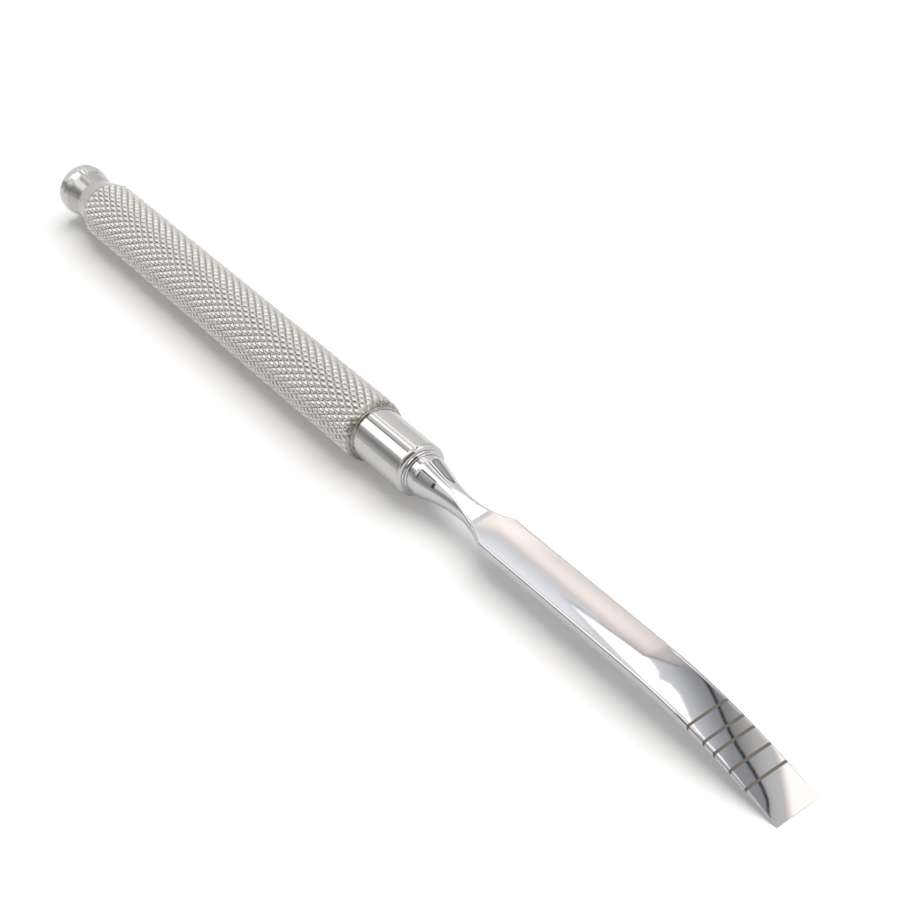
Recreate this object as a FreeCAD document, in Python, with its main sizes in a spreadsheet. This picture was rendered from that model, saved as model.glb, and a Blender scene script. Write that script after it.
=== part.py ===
import FreeCAD, Part
import math
import os
import re
import Sketcher

# Graduated osteotome: a knurled round handle that is struck on its flared head,
# and a flat blade with depth marks, its tip curved down to a straight cutting edge.
# It lies as it comes to rest, on the underside of the grip and on the cutting edge.
# X runs from the striking face to the tip, Z is up, and the origin is on the resting
# surface, halfway along. Every length is in millimetres.

doc = FreeCAD.newDocument("osteotome")

# Driving dimensions

DRIVING = [
    # Handle, from the striking face forward
    ("head_length", 7.0, "striking face to the rear bevel"),
    ("rim_inset", 0.65, "rim of the flared head, inside the grip's crests"),
    ("rim_bevel", 0.7, "bevel of the rim at the striking face"),
    ("rim_land", 0.8, "cylindrical part of the rim behind its bevel"),
    ("waist_inset", 0.65, "waist between head and grip, inside the rim"),
    ("rear_bevel_length", 4.2, "bevel from the waist up to the knurl"),
    ("grip_diameter", 10.5, "over the crests of the knurl"),
    ("grip_length", 84.7, "knurled stretch"),
    ("knurl_starts", 26, "grooves each way round the grip"),
    ("knurl_row_pitch", 1.145, "half the length of one diamond"),
    ("knurl_depth", 0.28, "crest to groove"),
    ("bevel_inset", 0.15, "top of both bevels, inside the grip's crests"),
    ("knurl_backing", 0.1, "solid bar under the knurl, below its grooves"),
    ("end_row_inset", 0.03, "tips of the first and last rows, inside the bevels' tops"),
    ("front_bevel_length", 1.3, "plain bevel from the grip down to the collar"),
    ("front_bevel_step", 0.25, "small square step where the bevel meets the collar"),
    ("collar_inset", 0.9, "polished collar, inside the grip's crests"),
    ("collar_length", 12.0, "front bevel to the end face"),
    ("collar_bevel", 0.6, "bevel of the collar's end"),
    ("bore_diameter", 4.0, "blind bore that takes the tang"),
    ("bore_depth", 14.0, "full-diameter depth of that bore"),
    ("bore_point_depth", 1.2, "drill point at its bottom"),
    # Blade, from its seat forward
    ("tang_clearance", 0.02, "radial gap between tang and bore"),
    ("tang_end_gap", 0.6, "gap between the tang's end and the bore's bottom"),
    ("tang_chamfer", 0.4, "lead-in at the tang's end"),
    ("seat_inset", 0.6, "ring that seats on the collar's end face, inside the collar"),
    ("seat_length", 0.4, "its height"),
    ("shank_inset", 0.47, "root of the shank, inside that ring"),
    ("shank_length", 1.6, "cylindrical part of that root"),
    ("cone_length", 3.0, "straight part of the cone"),
    ("taper_length", 6.7, "curved part, down to the neck"),
    ("neck_diameter", 3.56, "thinnest round section"),
    ("flare_length", 7.0, "neck to the blade's shoulders"),
    ("scoop_lead", 2.6, "the upper and lower faces start to sink this far behind the neck"),
    ("scoop_length", 3.9, "neck to the start of the flat faces"),
    ("blade_width", 7.0, "over the parallel flanks"),
    ("blade_thickness", 1.9, "of the straight part"),
    ("edge_break", 0.22, "bevel of the upper face's long edges"),
    ("straight_length", 32.4, "shoulders to the start of the curve"),
    ("curve_length", 28.4, "start of the curve to the cutting edge"),
    ("underside_lag", 1.0, "the underside starts to curve this much later"),
    ("edge_land", 0.12, "thickness left at the cutting edge"),
    # Depth marks, measured back from the cutting edge along the upper face to their middles
    ("mark_one", 6.0, "first mark"),
    ("mark_two", 9.0, "second mark"),
    ("mark_three", 12.0, "third mark"),
    ("mark_four", 14.0, "fourth mark"),
    ("mark_five", 17.0, "fifth mark"),
    ("mark_width", 0.4, "width of each engraved line"),
    ("mark_cut", 0.04, "depth of each engraved line"),
]
MARKS = ["mark_one", "mark_two", "mark_three", "mark_four", "mark_five"]

# Values worked out from the driving dimensions

DERIVED = [
    ("grip_radius", "grip_diameter / 2"),
    ("groove_radius", "grip_radius - knurl_depth"),
    ("core_radius", "groove_radius - knurl_backing"),
    ("bevel_top_radius", "grip_radius - bevel_inset"),
    ("end_row_radius", "bevel_top_radius - end_row_inset"),
    ("rim_radius", "grip_radius - rim_inset"),
    ("waist_radius", "rim_radius - waist_inset"),
    ("collar_radius", "grip_radius - collar_inset"),
    ("seat_radius", "collar_radius - seat_inset"),
    ("shank_radius", "seat_radius - shank_inset"),
    ("neck_radius", "neck_diameter / 2"),
    ("half_thickness", "blade_thickness / 2"),
    ("half_width", "blade_width / 2"),
    ("rim_end", "rim_bevel + rim_land"),
    ("flare_run", "head_length - rim_end"),
    ("head_flare_radius", "(flare_run ^ 2 + waist_inset ^ 2) / (2 * waist_inset)"),
    ("grip_start", "head_length + rear_bevel_length"),
    ("grip_end", "grip_start + grip_length"),
    ("collar_start", "grip_end + front_bevel_length"),
    ("handle_length", "collar_start + collar_length"),
    ("tang_radius", "bore_diameter / 2 - tang_clearance"),
    ("tang_length", "bore_depth - tang_end_gap"),
    ("cone_start", "seat_length + shank_length"),
    ("cone_end", "cone_start + cone_length"),
    ("cone_end_radius",
     "(shank_radius * taper_length + 2 * neck_radius * cone_length) / (taper_length + 2 * cone_length)"),
    ("taper_drop", "cone_end_radius - neck_radius"),
    ("taper_radius", "(taper_length ^ 2 + taper_drop ^ 2) / (2 * taper_drop)"),
    ("neck_place", "cone_end + taper_length"),
    ("shoulder_rise", "half_width - neck_radius"),
    ("shoulder_radius", "(flare_length ^ 2 + shoulder_rise ^ 2) / (2 * shoulder_rise)"),
    ("shoulder_place", "neck_place + flare_length"),
    ("trumpet_end_radius", "half_width + half_thickness"),
    ("trumpet_rise", "trumpet_end_radius - neck_radius"),
    ("trumpet_radius", "(flare_length ^ 2 + trumpet_rise ^ 2) / (2 * trumpet_rise)"),
    ("scoop_place", "neck_place - scoop_lead"),
    ("scoop_top", "neck_radius + taper_radius - sqrt(taper_radius ^ 2 - scoop_lead ^ 2)"),
    ("scoop_run", "scoop_lead + scoop_length"),
    ("scoop_drop", "scoop_top - half_thickness"),
    ("scoop_radius", "(scoop_run ^ 2 + scoop_drop ^ 2) / (2 * scoop_drop)"),
    ("curve_start", "shoulder_place + straight_length"),
    ("tip_place", "curve_start + curve_length"),
    ("upper_drop", "half_thickness + grip_radius - edge_land"),
    ("upper_radius", "(curve_length ^ 2 + upper_drop ^ 2) / (2 * upper_drop)"),
    ("under_run", "curve_length - underside_lag"),
    ("under_drop", "grip_radius - half_thickness"),
    ("under_radius", "(under_run ^ 2 + under_drop ^ 2) / (2 * under_drop)"),
    ("tip_angle", "asin(curve_length / upper_radius)"),
    ("total_length", "handle_length + tip_place"),
    ("half_length", "total_length / 2"),
]

sizes = doc.addObject("Spreadsheet::Sheet", "sizes")
for row, (alias, value, meaning) in enumerate(DRIVING, start=1):
    sizes.set("A%d" % row, meaning)
    sizes.set("B%d" % row, str(value))
    sizes.setAlias("B%d" % row, alias)
for row, (alias, formula) in enumerate(DERIVED, start=len(DRIVING) + 2):
    sizes.set("A%d" % row, alias.replace("_", " "))
    sizes.set("B%d" % row, "=" + formula)
    sizes.setAlias("B%d" % row, alias)
doc.recompute()


NAMES = "|".join(sorted([entry[0] for entry in DRIVING + DERIVED], key=len, reverse=True))


def linked(formula):
    """A formula of sheet names, as an expression that other objects can hold."""
    return re.sub(r"\b(%s)\b" % NAMES, r"sizes.\1", formula)


def value_of(formula):
    """Present value of a formula of sheet names, in millimetres or degrees."""
    found = sizes.evalExpression(linked(formula))
    return float(getattr(found, "Value", found))


# Sketches: closed outlines whose corners are held by the sheet

def origin_feature(body, role):
    """One of a body's own origin planes or axes."""
    return next(item for item in body.Origin.OriginFeatures if item.Role == role)


def new_sketch(body, name, plane):
    sketch = body.newObject("Sketcher::SketchObject", name)
    sketch.AttachmentSupport = [(origin_feature(body, plane), "")]
    sketch.MapMode = "FlatFace"
    return sketch


def hold_corner(sketch, edge, end, across, up):
    """Fixes one corner by its two coordinates from the sketch's origin."""
    for kind, formula in (("DistanceX", across), ("DistanceY", up)):
        if formula == "0":
            axis = -2 if kind == "DistanceX" else -1
            sketch.addConstraint(Sketcher.Constraint("PointOnObject", edge, end, axis))
        else:
            place = sketch.addConstraint(
                Sketcher.Constraint(kind, -1, 1, edge, end, value_of(formula)))
            sketch.setExpression("Constraints[%d]" % place, linked(formula))


def arc_between(start, end, radius, left):
    """Minor arc from start to end. Its centre lies left of that line, or right of it."""
    chord = end - start
    middle = (start + end) * 0.5
    normal = FreeCAD.Vector(-chord.y, chord.x, 0).normalize()
    reach = (radius ** 2 - (chord.Length / 2) ** 2) ** 0.5
    centre = middle + normal * (reach if left else -reach)
    bulge = (middle - centre).normalize() * radius
    return Part.Arc(start, centre + bulge, end)


def closed_outline(sketch, corners):
    """Draws a closed outline. Each corner is (across, up), or (across, up, radius, side)
    where the edge that leaves it is an arc with its centre to the left or the right."""
    points = [FreeCAD.Vector(value_of(corner[0]), value_of(corner[1]), 0) for corner in corners]
    count = len(corners)
    start_ends = []
    edges = []
    for index, corner in enumerate(corners):
        start = points[index]
        end = points[(index + 1) % count]
        if len(corner) == 2:
            edge = sketch.addGeometry(Part.LineSegment(start, end), False)
            start_ends.append(1)
        else:
            arc = arc_between(start, end, value_of(corner[2]), corner[3] == "left")
            edge = sketch.addGeometry(arc, False)
            begins = sketch.getPoint(edge, 1).distanceToPoint(start) < 1e-6
            start_ends.append(1 if begins else 2)
        edges.append(edge)
    for index in range(count):
        following = (index + 1) % count
        sketch.addConstraint(Sketcher.Constraint(
            "Coincident", edges[index], 3 - start_ends[index], edges[following], start_ends[following]))
    for index, corner in enumerate(corners):
        hold_corner(sketch, edges[index], start_ends[index], corner[0], corner[1])
        if len(corner) == 4:
            place = sketch.addConstraint(
                Sketcher.Constraint("Radius", edges[index], value_of(corner[2])))
            sketch.setExpression("Constraints[%d]" % place, linked(corner[2]))


def turned(body, name, feature_type, corners):
    """Turns an outline about the body's long axis, to add or to cut."""
    sketch = new_sketch(body, name + "_outline", "XZ_Plane")
    closed_outline(sketch, corners)
    feature = body.newObject(feature_type, name)
    feature.Profile = sketch
    feature.ReferenceAxis = (origin_feature(body, "X_Axis"), [""])
    feature.Angle = 360.0
    sketch.Visibility = False
    doc.recompute()
    return feature


# Handle: one turned bar. Its own origin is the centre of the striking face.

bar = doc.addObject("PartDesign::Body", "bar")
turned(bar, "turned_bar", "PartDesign::Revolution", [
    ("0", "0"),
    ("handle_length", "0"),
    ("handle_length", "collar_radius - collar_bevel"),
    ("handle_length - collar_bevel", "collar_radius"),
    ("collar_start", "collar_radius"),
    ("collar_start", "collar_radius + front_bevel_step"),
    ("grip_end", "bevel_top_radius"),
    ("grip_end", "core_radius"),
    ("grip_start", "core_radius"),
    ("grip_start", "bevel_top_radius"),
    ("head_length", "waist_radius", "head_flare_radius", "right"),
    ("rim_end", "rim_radius"),
    ("rim_bevel", "rim_radius"),
    ("0", "rim_radius - rim_bevel"),
])
turned(bar, "tang_bore", "PartDesign::Groove", [
    ("handle_length - bore_depth - bore_point_depth", "0"),
    ("handle_length", "0"),
    ("handle_length", "bore_diameter / 2"),
    ("handle_length - bore_depth", "bore_diameter / 2"),
])

# Knurl: grooves cut both ways round the grip leave rows of four-sided points, each row
# turned half a point from the last. Its corners stand on one grid of rows and angles:
# the points' tips and, between them, the crossings of the grooves.

def knurl_solid():
    starts = int(value_of("knurl_starts"))
    rows = max(2, round(value_of("grip_length") / value_of("knurl_row_pitch")))
    pitch = value_of("grip_length") / rows
    places = 2 * starts
    groove_radius = value_of("groove_radius")
    first = value_of("grip_start")

    corners = {}
    for row in range(rows + 1):
        tip_radius = value_of("end_row_radius" if row in (0, rows) else "grip_radius")
        for place in range(places):
            is_tip = (row + place) % 2 == 0
            radius = tip_radius if is_tip else groove_radius
            angle = 2 * math.pi * place / places
            corners[row, place] = Part.Vertex(
                first + row * pitch, radius * math.sin(angle), -radius * math.cos(angle))

    edges = {}

    def edge(one, other):
        key = (min(one, other), max(one, other))
        if key not in edges:
            edges[key] = Part.Edge(corners[key[0]], corners[key[1]])
        return edges[key]

    def facet(points, outward):
        """A flat face over corners of the grid, turned to face outward."""
        loop = [edge(points[index - 1], points[index]) for index in range(len(points))]
        face = Part.Face(Part.Wire(loop))
        if face.normalAt(0, 0).dot(outward) < 0:
            face.reverse()
        return face

    faces = []
    for row in range(rows + 1):
        for place in range(row % 2, places, 2):
            tip = (row, place)
            sides = [(row, (place + 1) % places), (row, (place - 1) % places)]
            outward = corners[tip].Point
            outward = FreeCAD.Vector(0, outward.y, outward.z)
            for neighbour in (row - 1, row + 1):
                if 0 <= neighbour <= rows:
                    for side in sides:
                        faces.append(facet([tip, side, (neighbour, place)], outward))
    for row, outward in ((0, FreeCAD.Vector(-1, 0, 0)), (rows, FreeCAD.Vector(1, 0, 0))):
        faces.append(facet([(row, place) for place in range(places)], outward))
    return Part.Solid(Part.Shell(faces))


handle = doc.addObject("Part::Feature", "handle")
handle.Label = "handle"
handle.Shape = bar.Shape.fuse(knurl_solid())

# Blade: one forging. Its own origin is the centre of the ring that seats on the collar.

forging = doc.addObject("PartDesign::Body", "forging")
REACH = "2 * seat_radius"
slab_outline = new_sketch(forging, "slab_outline", "XZ_Plane")
closed_outline(slab_outline, [
    ("0", REACH),
    ("0", "-" + REACH),
    ("scoop_place", "-" + REACH),
    ("scoop_place", "-scoop_top", "scoop_radius", "right"),
    ("neck_place + scoop_length", "-half_thickness"),
    ("curve_start + underside_lag", "-half_thickness", "under_radius", "right"),
    ("tip_place", "-grip_radius"),
    ("tip_place", "edge_land - grip_radius", "upper_radius", "left"),
    ("curve_start", "half_thickness"),
    ("neck_place + scoop_length", "half_thickness", "scoop_radius", "right"),
    ("scoop_place", "scoop_top"),
    ("scoop_place", REACH),
])
slab = forging.newObject("PartDesign::Pad", "slab")
slab.Profile = slab_outline
slab.setExpression("Length", "2 * " + linked(REACH))
slab.Midplane = True
slab_outline.Visibility = False
doc.recompute()

# Flanks: both sides are ground parallel, and concave from the neck out to the shoulders.
flank_outline = new_sketch(forging, "flank_outline", "XY_Plane")
closed_outline(flank_outline, [
    ("neck_place", "2 * " + REACH),
    ("neck_place", "neck_radius", "shoulder_radius", "left"),
    ("shoulder_place", "half_width"),
    ("tip_place + " + REACH, "half_width"),
    ("tip_place + " + REACH, "2 * " + REACH),
])
flank = forging.newObject("PartDesign::Pocket", "flank")
flank.Profile = flank_outline
flank.setExpression("Length", "4 * " + linked(REACH))
flank.Midplane = True
flank_outline.Visibility = False
doc.recompute()
both_flanks = forging.newObject("PartDesign::Mirrored", "both_flanks")
both_flanks.Originals = [flank]
both_flanks.MirrorPlane = (origin_feature(forging, "XZ_Plane"), [""])
forging.Tip = both_flanks
doc.recompute()

# Shank: seat ring, root, cone and neck are turned, and the turning runs out into the flare.
turned(forging, "shank", "PartDesign::Groove", [
    ("0", "2 * " + REACH),
    ("0", "seat_radius"),
    ("seat_length", "seat_radius"),
    ("seat_length", "shank_radius"),
    ("cone_start", "shank_radius"),
    ("cone_end", "cone_end_radius", "taper_radius", "left"),
    ("neck_place", "neck_radius", "trumpet_radius", "left"),
    ("shoulder_place", "trumpet_end_radius"),
    ("shoulder_place", "2 * " + REACH),
])
turned(forging, "tang", "PartDesign::Revolution", [
    ("-tang_length", "0"),
    ("0", "0"),
    ("0", "tang_radius"),
    ("tang_chamfer - tang_length", "tang_radius"),
    ("-tang_length", "tang_radius - tang_chamfer"),
])


def long_upper_edges(shape):
    """Names of the edges between the upper face and the flanks, straight and curved."""
    flank_y = value_of("half_width")
    found = []
    for index, edge in enumerate(shape.Edges, start=1):
        ends = [vertex.Point for vertex in edge.Vertexes]
        on_flank = all(abs(abs(point.y) - flank_y) < 1e-4 for point in ends)
        starts_high = abs(max(point.z for point in ends) - value_of("half_thickness")) < 1e-4
        runs_along = max(point.x for point in ends) - min(point.x for point in ends) > 1e-3
        if on_flank and starts_high and runs_along:
            found.append("Edge%d" % index)
    return found


sharp_forging = forging.Tip
broken_edges = forging.newObject("PartDesign::Chamfer", "broken_edges")
broken_edges.Base = (sharp_forging, long_upper_edges(sharp_forging.Shape))
broken_edges.setExpression("Size", linked("edge_break"))
doc.recompute()

# Depth marks: shallow lines across the upper face, square to its curve.
line_cutters = []
for mark in MARKS:
    cutter = doc.addObject("Part::Box", mark + "_cutter")
    turn = "(tip_angle - (" + mark + " + mark_width / 2) / upper_radius * 180deg / pi)"
    root = "(upper_radius - mark_cut)"
    cutter.setExpression("Length", linked("mark_width"))
    cutter.setExpression("Width", linked("2 * blade_width"))
    cutter.setExpression("Height", linked("2 * mark_cut"))
    cutter.Placement = FreeCAD.Placement(FreeCAD.Vector(), FreeCAD.Rotation(FreeCAD.Vector(0, 1, 0), 1))
    cutter.setExpression("Placement.Rotation.Angle", linked(turn))
    cutter.setExpression("Placement.Base.x", linked("curve_start + " + root + " * sin(" + turn + ")"))
    cutter.setExpression("Placement.Base.y", linked("-blade_width"))
    cutter.setExpression(
        "Placement.Base.z", linked("half_thickness - upper_radius + " + root + " * cos(" + turn + ")"))
    line_cutters.append(cutter)
lines = doc.addObject("Part::MultiFuse", "depth_lines")
lines.Shapes = line_cutters
blade = doc.addObject("Part::Cut", "blade")
blade.Label = "blade"
blade.Base = forging
blade.Tool = lines

# Places in the shared frame

handle.setExpression("Placement.Base.x", linked("-half_length"))
blade.setExpression("Placement.Base.x", linked("handle_length - half_length"))
for piece in (handle, blade):
    piece.setExpression("Placement.Base.z", linked("grip_radius"))
doc.recompute()

# Every object must be sound before anything is written

for item in doc.Objects:
    if "Invalid" in item.State or "Error" in item.State:
        raise RuntimeError("%s could not be built" % item.Name)
os.makedirs("parts", exist_ok=True)
for piece in (handle, blade):
    shape = piece.Shape
    if shape.isNull() or not shape.isValid() or len(shape.Solids) != 1:
        raise RuntimeError("%s is not one sound solid" % piece.Label)
    shape.exportStep("parts/%s.step" % piece.Label)
    box = shape.optimalBoundingBox(False)
    print("%s: %.1f mm3, x %.2f to %.2f, y %.2f to %.2f, z %.2f to %.2f" % (
        piece.Label, shape.Volume, box.XMin, box.XMax, box.YMin, box.YMax, box.ZMin, box.ZMax))
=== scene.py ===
# %% [markdown]
# # A graduated osteotome in polished steel
# The instrument is a knurled round handle with a flared striking head, and a flat blade
# with depth lines whose tip curves down to a straight edge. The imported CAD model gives
# the frame: every place below is in its coordinates, in metres, with X along the handle
# towards the tip, Z up, and the resting surface at zero.

import math

import bmesh
import bpy
from mathutils import Matrix, Vector


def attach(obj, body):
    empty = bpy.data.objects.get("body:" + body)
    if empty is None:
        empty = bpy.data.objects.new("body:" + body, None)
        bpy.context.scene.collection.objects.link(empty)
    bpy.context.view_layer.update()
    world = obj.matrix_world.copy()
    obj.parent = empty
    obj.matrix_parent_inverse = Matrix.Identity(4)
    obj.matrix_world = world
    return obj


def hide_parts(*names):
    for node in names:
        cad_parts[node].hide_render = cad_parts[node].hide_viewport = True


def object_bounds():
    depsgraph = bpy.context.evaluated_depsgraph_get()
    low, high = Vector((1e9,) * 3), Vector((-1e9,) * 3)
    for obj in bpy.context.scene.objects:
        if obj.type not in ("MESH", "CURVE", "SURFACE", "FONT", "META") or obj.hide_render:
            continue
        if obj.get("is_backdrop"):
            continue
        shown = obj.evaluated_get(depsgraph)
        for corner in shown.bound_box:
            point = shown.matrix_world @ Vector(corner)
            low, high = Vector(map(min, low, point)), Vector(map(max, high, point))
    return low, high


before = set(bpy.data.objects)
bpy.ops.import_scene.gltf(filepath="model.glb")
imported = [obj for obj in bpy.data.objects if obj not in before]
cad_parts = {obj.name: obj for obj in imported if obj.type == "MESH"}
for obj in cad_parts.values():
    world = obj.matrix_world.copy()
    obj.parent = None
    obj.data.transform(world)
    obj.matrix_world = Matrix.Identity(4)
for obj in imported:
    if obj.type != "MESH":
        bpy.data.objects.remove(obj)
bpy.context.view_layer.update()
MM = 0.001
# Height of the handle's axis over the resting surface, in mm
AXIS_HEIGHT = 5.25

# %% [markdown]
# ## Small helpers
# Colours are written as the hex values that a colour picker shows. Blender's shaders
# want linear light, so one function turns one into the other. Another adds a node, sets
# it and wires it in a single call, which keeps every tree below short enough to read.

# %% Helpers for colours, nodes and meshes
def linear(code):
    """Linear RGBA for an sRGB hex colour."""
    channels = [int(code[place:place + 2], 16) / 255 for place in (1, 3, 5)]
    return [c / 12.92 if c <= 0.04045 else ((c + 0.055) / 1.055) ** 2.4 for c in channels] + [1.0]


def add_node(tree, kind, settings=None, inputs=None):
    """Adds a node. An input's value is a plain value, or another node's output to link."""
    node = tree.nodes.new(kind)
    for name, value in (settings or {}).items():
        setattr(node, name, value)
    for name, value in (inputs or {}).items():
        if isinstance(value, bpy.types.NodeSocket):
            tree.links.new(value, node.inputs[name])
        else:
            node.inputs[name].default_value = value
    return node


def finished(name, mesh, materials, sharp_degrees):
    """An object for a mesh, smooth except along edges sharper than the angle."""
    for material in materials:
        mesh.materials.append(material)
    mesh.shade_smooth()
    mesh.set_sharp_from_angle(angle=math.radians(sharp_degrees))
    piece = bpy.data.objects.new(name, mesh)
    bpy.context.scene.collection.objects.link(piece)
    print(name, "faces:", len(mesh.polygons))
    return piece


print("mid grey in linear light:", [round(channel, 3) for channel in linear("#808080")[:3]])

# %% [markdown]
# ## Finishes
# The whole instrument is stainless steel, and only the way its surface was made differs.
# Rim, collar and blade are buffed to a mirror, so they show the studio, a little bent
# by the waviness that hand polishing leaves. Head and bevels are turned and left satin.
# The tops of the knurl are polished too, and its grooves are painted a darker colour: painted
# shade in the grooves, partly a duller finish where no buff reaches. The depth lines are burnt in
# with a laser, which leaves a thin brown oxide. A metal keeps the default IOR.
# Object coordinates are in metres, so a Mapping node turns them to millimetres first.
# Real buffing marks are a few hundredths of a millimetre wide. Here they are drawn
# 0.1 to 0.3 mm wide, because finer ones would not show.

# %% Stainless steel
def steel(name, colour, roughness, wave_mm, wave_height_mm, grain_mm, grain_spread):
    """Bare steel with a slow waviness and a fine grain that varies its gloss."""
    material = bpy.data.materials.new(name)
    material.use_nodes = True
    tree = material.node_tree
    shader = tree.nodes["Principled BSDF"]
    shader.inputs["Base Color"].default_value = linear(colour)
    shader.inputs["Metallic"].default_value = 1.0
    place = add_node(tree, "ShaderNodeTexCoord").outputs["Object"]
    in_mm = add_node(tree, "ShaderNodeMapping", inputs={
        "Vector": place, "Scale": (1 / MM, 1 / MM, 1 / MM)}).outputs["Vector"]
    # Grain: marks of buffing run along the instrument, so the noise is drawn out along X.
    along = add_node(tree, "ShaderNodeMapping", inputs={
        "Vector": in_mm, "Scale": (0.08 / grain_mm, 1 / grain_mm, 1 / grain_mm)}).outputs["Vector"]
    grain = add_node(tree, "ShaderNodeTexNoise", inputs={
        "Vector": along, "Scale": 1.0, "Detail": 3.0, "Roughness": 0.6}).outputs["Fac"]
    gloss = add_node(tree, "ShaderNodeMapRange", inputs={
        "Value": grain, "From Min": 0.3, "From Max": 0.7,
        "To Min": roughness - grain_spread, "To Max": roughness + grain_spread}).outputs["Result"]
    tree.links.new(gloss, shader.inputs["Roughness"])
    wave = add_node(tree, "ShaderNodeTexNoise", inputs={
        "Vector": in_mm, "Scale": 1 / wave_mm, "Detail": 1.0}).outputs["Fac"]
    bump = add_node(tree, "ShaderNodeBump", inputs={
        "Height": wave, "Distance": wave_height_mm * MM, "Strength": 1.0}).outputs["Normal"]
    tree.links.new(bump, shader.inputs["Normal"])
    return material


# After name and colour: roughness, wave length, wave height, grain width, grain spread.
# Buffed on a wheel: the room shows sharply, and only its edges are a little soft
mirror_steel = steel("mirror_polished_stainless", "#C1C0BE", 0.08, 9.0, 0.006, 0.25, 0.025)
# Buffed by hand on a flat: sharper still, with long slow bends in what it shows
blade_steel = steel("hand_buffed_stainless", "#C3C2C3", 0.045, 10.0, 0.010, 0.2, 0.015)
# Rolled, then buffed: every point throws its own small highlight
knurl_steel = steel("polished_knurled_stainless", "#CBC9C3", 0.06, 1.5, 0.006, 0.12, 0.025)
# Fresh from the lathe: highlights spread round the bar
satin_steel = steel("satin_turned_stainless", "#ADACA7", 0.2, 2.0, 0.006, 0.1, 0.02)
# Burnt by a laser: dark, brownish and without a clear reflection
line_oxide = steel("laser_marked_oxide", "#736C64", 0.4, 0.8, 0.01, 0.3, 0.1)


# %% Painted shade in the grooves of the knurl
def paint_groove_shade(material, colour, low_mm, high_mm):
    """From one distance to another from the handle's axis, a darker colour, painted shade in the
    grooves, turns to the steel's own.
    """
    tree = material.node_tree
    shader = tree.nodes["Principled BSDF"]
    place = add_node(tree, "ShaderNodeTexCoord").outputs["Object"]
    across = add_node(tree, "ShaderNodeVectorMath", {"operation": "MULTIPLY_ADD"}, {
        0: place, 1: (0.0, 1.0, 1.0), 2: (0.0, 0.0, -AXIS_HEIGHT * MM)}).outputs["Vector"]
    from_axis = add_node(tree, "ShaderNodeVectorMath", {"operation": "LENGTH"}, {
        0: across}).outputs["Value"]
    share = add_node(tree, "ShaderNodeMapRange", inputs={
        "Value": from_axis, "From Min": low_mm * MM, "From Max": high_mm * MM}).outputs["Result"]
    own = tuple(shader.inputs["Base Color"].default_value)
    # A Mix node holds sockets for every kind of data: its two colours are 6 and 7, its result is 2
    mixed = add_node(tree, "ShaderNodeMix", {"data_type": "RGBA"}, {
        0: share, 6: linear(colour), 7: own})
    tree.links.new(mixed.outputs[2], shader.inputs["Base Color"])


# The knurl's grooves get a darker base colour: painted shade, partly a duller finish
paint_groove_shade(knurl_steel, "#A09A91", low_mm=4.98, high_mm=5.12)
print("materials:", [material.name for material in bpy.data.materials])

# %% [markdown]
# ## The turned handle
# The real handle is one bar from a lathe: a flared head, a waist, a bevel up to the
# grip, a bevel down to the collar, and a blind bore for the tang. A lathe part is its
# outline turned about an axis, so the outline is written as corners with a rounding
# each, and the mesh is made ring by ring. Every real edge has a small rounding, because
# it is the rounding that catches the light.

# %% Outline of the handle, in mm from the striking face
HANDLE_START = -94.35
GRIP_RADIUS = 5.25
GROOVE_RADIUS = 4.97
BEVEL_TOP_RADIUS = 5.02
CORE_RADIUS = 4.87
BORE_RADIUS = 2.0

# Place, radius, rounding, and the finish of the stretch that leaves the corner: 0 is
# mirror and 1 is satin. The core runs on under the knurl.
HANDLE_CORNERS = [
    (0.0, 0.0, 0.0, 1),
    (0.0, 4.6, 0.9, 0),
    (2.1, 4.6, 1.2, 0),
    (3.6, 4.2, 4.0, 1),
    (7.0, 3.95, 3.0, 1),
    (11.2, BEVEL_TOP_RADIUS, 0.03, 1),
    (11.2, CORE_RADIUS, 0.0, 1),
    (95.9, CORE_RADIUS, 0.0, 1),
    (95.9, BEVEL_TOP_RADIUS, 0.03, 1),
    (97.2, 4.6, 0.06, 1),
    (97.2, 4.35, 0.04, 0),
    (109.2, 4.35, 0.75, 0),
    (109.2, BORE_RADIUS, 0.15, 0),
    (95.2, BORE_RADIUS, 0.0, 0),
    (94.0, 0.0, 0.0, 0),
]
print("handle in mm:", HANDLE_CORNERS[11][0], "long, corners:", len(HANDLE_CORNERS))

# %% Turn the outline
HOLD = 0.04


def rounded_outline(corners, steps=8):
    """Points of an outline with tangent arcs as corners. Held points beside them keep walls straight."""
    points = []
    for index, (place, radius, rounding, finish) in enumerate(corners):
        here = Vector((place, radius))
        if rounding == 0 or index in (0, len(corners) - 1):
            points.append((here, finish))
            continue
        before = (Vector(corners[index - 1][:2]) - here).normalized()
        after = (Vector(corners[index + 1][:2]) - here).normalized()
        half = before.angle(after) / 2
        reach = rounding / math.tan(half)
        centre = here + (before + after).normalized() * (rounding / math.sin(half))
        first = here + before * reach - centre
        turn = first.angle_signed(here + after * reach - centre)
        points.append((centre + first + before * HOLD, corners[index - 1][3]))
        for step in range(steps + 1):
            arm = first.copy()
            arm.rotate(Matrix.Rotation(-turn * step / steps, 2))
            points.append((centre + arm, finish))
        points.append((centre + arm + after * HOLD, finish))
    return points


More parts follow.
